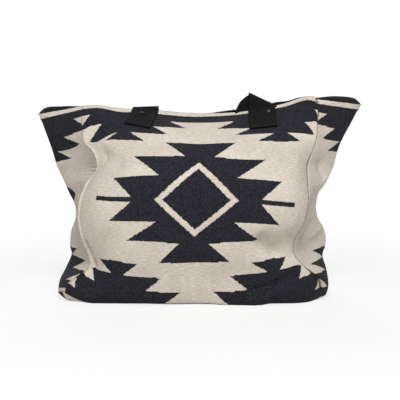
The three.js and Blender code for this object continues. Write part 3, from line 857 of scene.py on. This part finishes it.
# Where the middles of the sewn ends run, from the cut end up, and how far their cut ends are turned
LEFT_END = (-90, -82)
RIGHT_END = (85.3, 85.8)
BACK_ENDS = (-84, 82)
LEFT_SKEW = 4.5
RIGHT_SKEW = 1
left_end = sewn_end(*LEFT_END, LEFT_SKEW, False)
right_end = sewn_end(*RIGHT_END, RIGHT_SKEW, False)
front_rulings = (left_end + rim_turn(left_end[-1], False) + loop_rulings(FRONT_LOOP)
                 + [list(ruling) for ruling in SLANTED_FOLD] + right_end[::-1])
back_left, back_right = (sewn_end(p, p, 0, True) for p in BACK_ENDS)
back_rulings = (back_left + rim_turn(back_left[-1], True) + loop_rulings(BACK_LOOP)
                + rim_turn(back_right[-1], True)[::-1] + back_right[::-1])
handles = {}
for name, rulings in (("front_handle", front_rulings), ("back_handle", back_rulings)):
    handles[name] = webbing_ribbon(name + "_webbing", rulings, cotton_webbing)
    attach(handles[name], "root")
    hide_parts(name)

# The rivets: one near the top of each sewn end, a domed cap outside clenched on a post with a flat head
# inside. Both are dark plated brass, turned and pressed, and the front right rivet's plating is drawn
# lighter as a painted highlight.
CAP_OUTLINE = [(0, 1.8), (1.3, 1.7), (2.5, 1.35), (3.4, 0.8), (3.9, 0.3), (4, 0), (0, 0)]
POST_OUTLINE = [(0, 0), (1.5, 0), (1.5, -5.6), (3.5, -5.7), (3.5, -6.2), (3, -6.7), (0, -6.9)]
RIVET_STEPS = 32
# A rivet's place starts this far down from the rim and off the cloth, and is set down on the webbing
RIVET_DROP = 14
RIVET_LIFT = 3 * ON_CLOTH
FRONT_RIVETS = (-85.5, 94.5)
# The second finish is the same plating in lighter colours, a painted highlight for the front right rivet
PLATINGS = {"dark plated brass": ("#121214", "#0b0b0c"), "worn plated brass": ("#39393d", "#29292c")}
GLOSS_RANGE = (0.22, 0.42)
BRUSH = 0.6
MERGE_GAP = 0.01

# Plated brass: a thin dark plating with fine brushed marks, so that each dome catches one small soft light
plated_brass = {}
for name, (light, dark) in PLATINGS.items():
    plated_brass[name], tree = empty_material(name)
    place = add_node(tree, "TexCoord")
    marks = add_node(tree, "TexNoise", {"Vector": place.outputs["Object"], "Scale": 1 / (BRUSH * MM),
                     "Detail": 3})
    colour = add_node(tree, "Mix", {"Factor": marks, "A": linear(light), "B": linear(dark)}, data_type="RGBA")
    gloss = add_node(tree, "MapRange", {"Value": marks, "To Min": GLOSS_RANGE[0], "To Max": GLOSS_RANGE[1]})
    shader = add_node(tree, "BsdfPrincipled", {"Base Color": colour.outputs[2], "Metallic": 1.0,
                      "Roughness": gloss})
    add_node(tree, "OutputMaterial", {"Surface": shader})


def turned(outline, seat, outward):
    """A bmesh of an outline of radius and height, spun round its axis and set on a seat facing outward."""
    bm = bmesh.new()
    verts = [bm.verts.new((radius * MM, 0, height * MM)) for radius, height in outline]
    edges = [bm.edges.new(pair) for pair in zip(verts, verts[1:])]
    bmesh.ops.spin(bm, geom=verts + edges, cent=(0, 0, 0), axis=(0, 0, 1), angle=2 * math.pi,
                   steps=RIVET_STEPS, use_merge=True)
    bmesh.ops.remove_doubles(bm, verts=bm.verts, dist=MERGE_GAP * MM)
    bmesh.ops.recalc_face_normals(bm, faces=bm.faces)
    facing = outward.to_track_quat("Z", "Y").to_matrix().to_4x4()
    bmesh.ops.transform(bm, matrix=Matrix.Translation(seat) @ facing, verts=bm.verts)
    return bm


def surface_near(piece, point):
    """The nearest place on a piece's surface to a point in millimetres, and its outward direction."""
    return piece.closest_point_on_mesh(Vector(point) * MM)[1:3]


bpy.context.view_layer.update()
for name, handle, p, back, finish in [
    ("front_left", "front_handle", FRONT_RIVETS[0], False, "dark plated brass"),
    ("front_right", "front_handle", FRONT_RIVETS[1], False, "worn plated brass"),
    ("back_left", "back_handle", BACK_ENDS[0], True, "dark plated brass"),
    ("back_right", "back_handle", BACK_ENDS[1], True, "dark plated brass"),
]:
    seat, outward = surface_near(handles[handle], on_wall(p, RIVET_DROP, RIVET_LIFT, back))
    for part, outline in (("cap", CAP_OUTLINE), ("post", POST_OUTLINE)):
        rivet = new_object(f"{name}_rivet_{part}_metal", turned(outline, seat, outward), plated_brass[finish])
        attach(rivet, "root")
        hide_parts(f"{name}_rivet_{part}")

# The stitching: a row of cream thread that holds the hem down all round the rim, and a box of black thread on
# each sewn end of the handles. Each stitch is a short plump loop of thread.
HEM_LINE = 8.6
STITCH_PITCH = 4.2
STITCH_LENGTH = 3.0
STITCH_SEGMENTS = (6, 5)
THREAD = 0.55
END_INSET = 4
# How far off the cloth and the webbing the lines start, from which the stitches are set down on them
OFF_CLOTH = 3
OFF_WEBBING = 4
RIM_REACH = 0.985
RIM_SAMPLES = np.linspace(-RIM_REACH, RIM_REACH, 90)
CREAM_THREAD = "#cfc6b6"
BLACK_THREAD = "#19191b"
PLY_TURNS = 0.5
PLY_RELIEF = 0.1


def stitch_along(bm, piece, points):
    """Adds stitches on a piece's surface along a line of points that lie just outside it."""
    points = np.array(points)
    length = lengths_along(points)
    for at in np.arange(STITCH_PITCH / 2, length[-1], STITCH_PITCH):
        before, after = (np.array([np.interp(at + step, length, points[:, axis]) for axis in range(3)])
                         for step in (-1, 1))
        seat, outward = surface_near(piece, (before + after) / 2)
        along = Vector(after - before).normalized()
        aside = outward.cross(along).normalized()
        turn = Matrix((along, aside, along.cross(aside))).transposed().to_4x4()
        shape = Matrix.Diagonal((STITCH_LENGTH / 2 * MM, THREAD / 2 * MM, THREAD / 2 * MM, 1))
        bmesh.ops.create_uvsphere(bm, u_segments=STITCH_SEGMENTS[0], v_segments=STITCH_SEGMENTS[1], radius=1,
                                  matrix=Matrix.Translation(seat) @ turn @ shape)


def spun_thread(name, hex_colour):
    """Twisted cotton thread: slightly glossy, with a fine slant of its plies."""
    material, tree = empty_material(name)
    place = add_node(tree, "TexCoord")
    plies = add_node(tree, "TexWave", {"Vector": place.outputs["Object"], "Scale": PLY_TURNS / (THREAD * MM)},
                     bands_direction="DIAGONAL")
    bump = add_node(tree, "Bump", {"Height": plies, "Strength": 0.3, "Distance": PLY_RELIEF * MM})
    shader = add_node(tree, "BsdfPrincipled", {"Base Color": linear(hex_colour), "Normal": bump,
                      "Roughness": 0.6, "Specular IOR Level": 0.3})
    add_node(tree, "OutputMaterial", {"Surface": shader})
    return material


def box_line(low, high, skew, back):
    """Points just off a sewn end: down one side, along its cut end, up the other side and across the top."""
    ends = sewn_end(low, high, skew, back)
    share = END_INSET / WEBBING_WIDTH
    outer = [np.array(r[:3]) * (1 - share) + np.array(r[3:]) * share for r in ends]
    inner = [np.array(r[3:]) * (1 - share) + np.array(r[:3]) * share for r in ends]
    lower = [outer[0] * (1 - share) + outer[1] * share, inner[0] * (1 - share) + inner[1] * share]
    line = outer[-2:0:-1] + lower + inner[1:-1] + [outer[-2]]
    return [point + (0, OFF_WEBBING if back else -OFF_WEBBING, 0) for point in line]


bm = bmesh.new()
for back in (False, True):
    stitch_along(bm, body, [on_wall(a * HALF_WIDTH, HEM_LINE, OFF_CLOTH, back) for a in RIM_SAMPLES])
for side in (-1, 1):
    rim = gusset_row(side, GUSSET_EASE[side][0][1] + HEM_LINE, RIM_SAMPLES)
    stitch_along(bm, gussets[side], rim + (OFF_CLOTH * side, 0, 0))
hem_stitching = new_object("hem_stitching", bm, spun_thread("cream cotton thread", CREAM_THREAD))
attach(hem_stitching, "root")

bm = bmesh.new()
for handle, low, high, skew, back in [
    ("front_handle", *LEFT_END, LEFT_SKEW, False),
    ("front_handle", *RIGHT_END, RIGHT_SKEW, False),
    ("back_handle", BACK_ENDS[0], BACK_ENDS[0], 0, True),
    ("back_handle", BACK_ENDS[1], BACK_ENDS[1], 0, True),
]:
    stitch_along(bm, handles[handle], box_line(low, high, skew, back))
handle_stitching = new_object("handle_stitching", bm, spun_thread("black cotton thread", BLACK_THREAD))
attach(handle_stitching, "root")
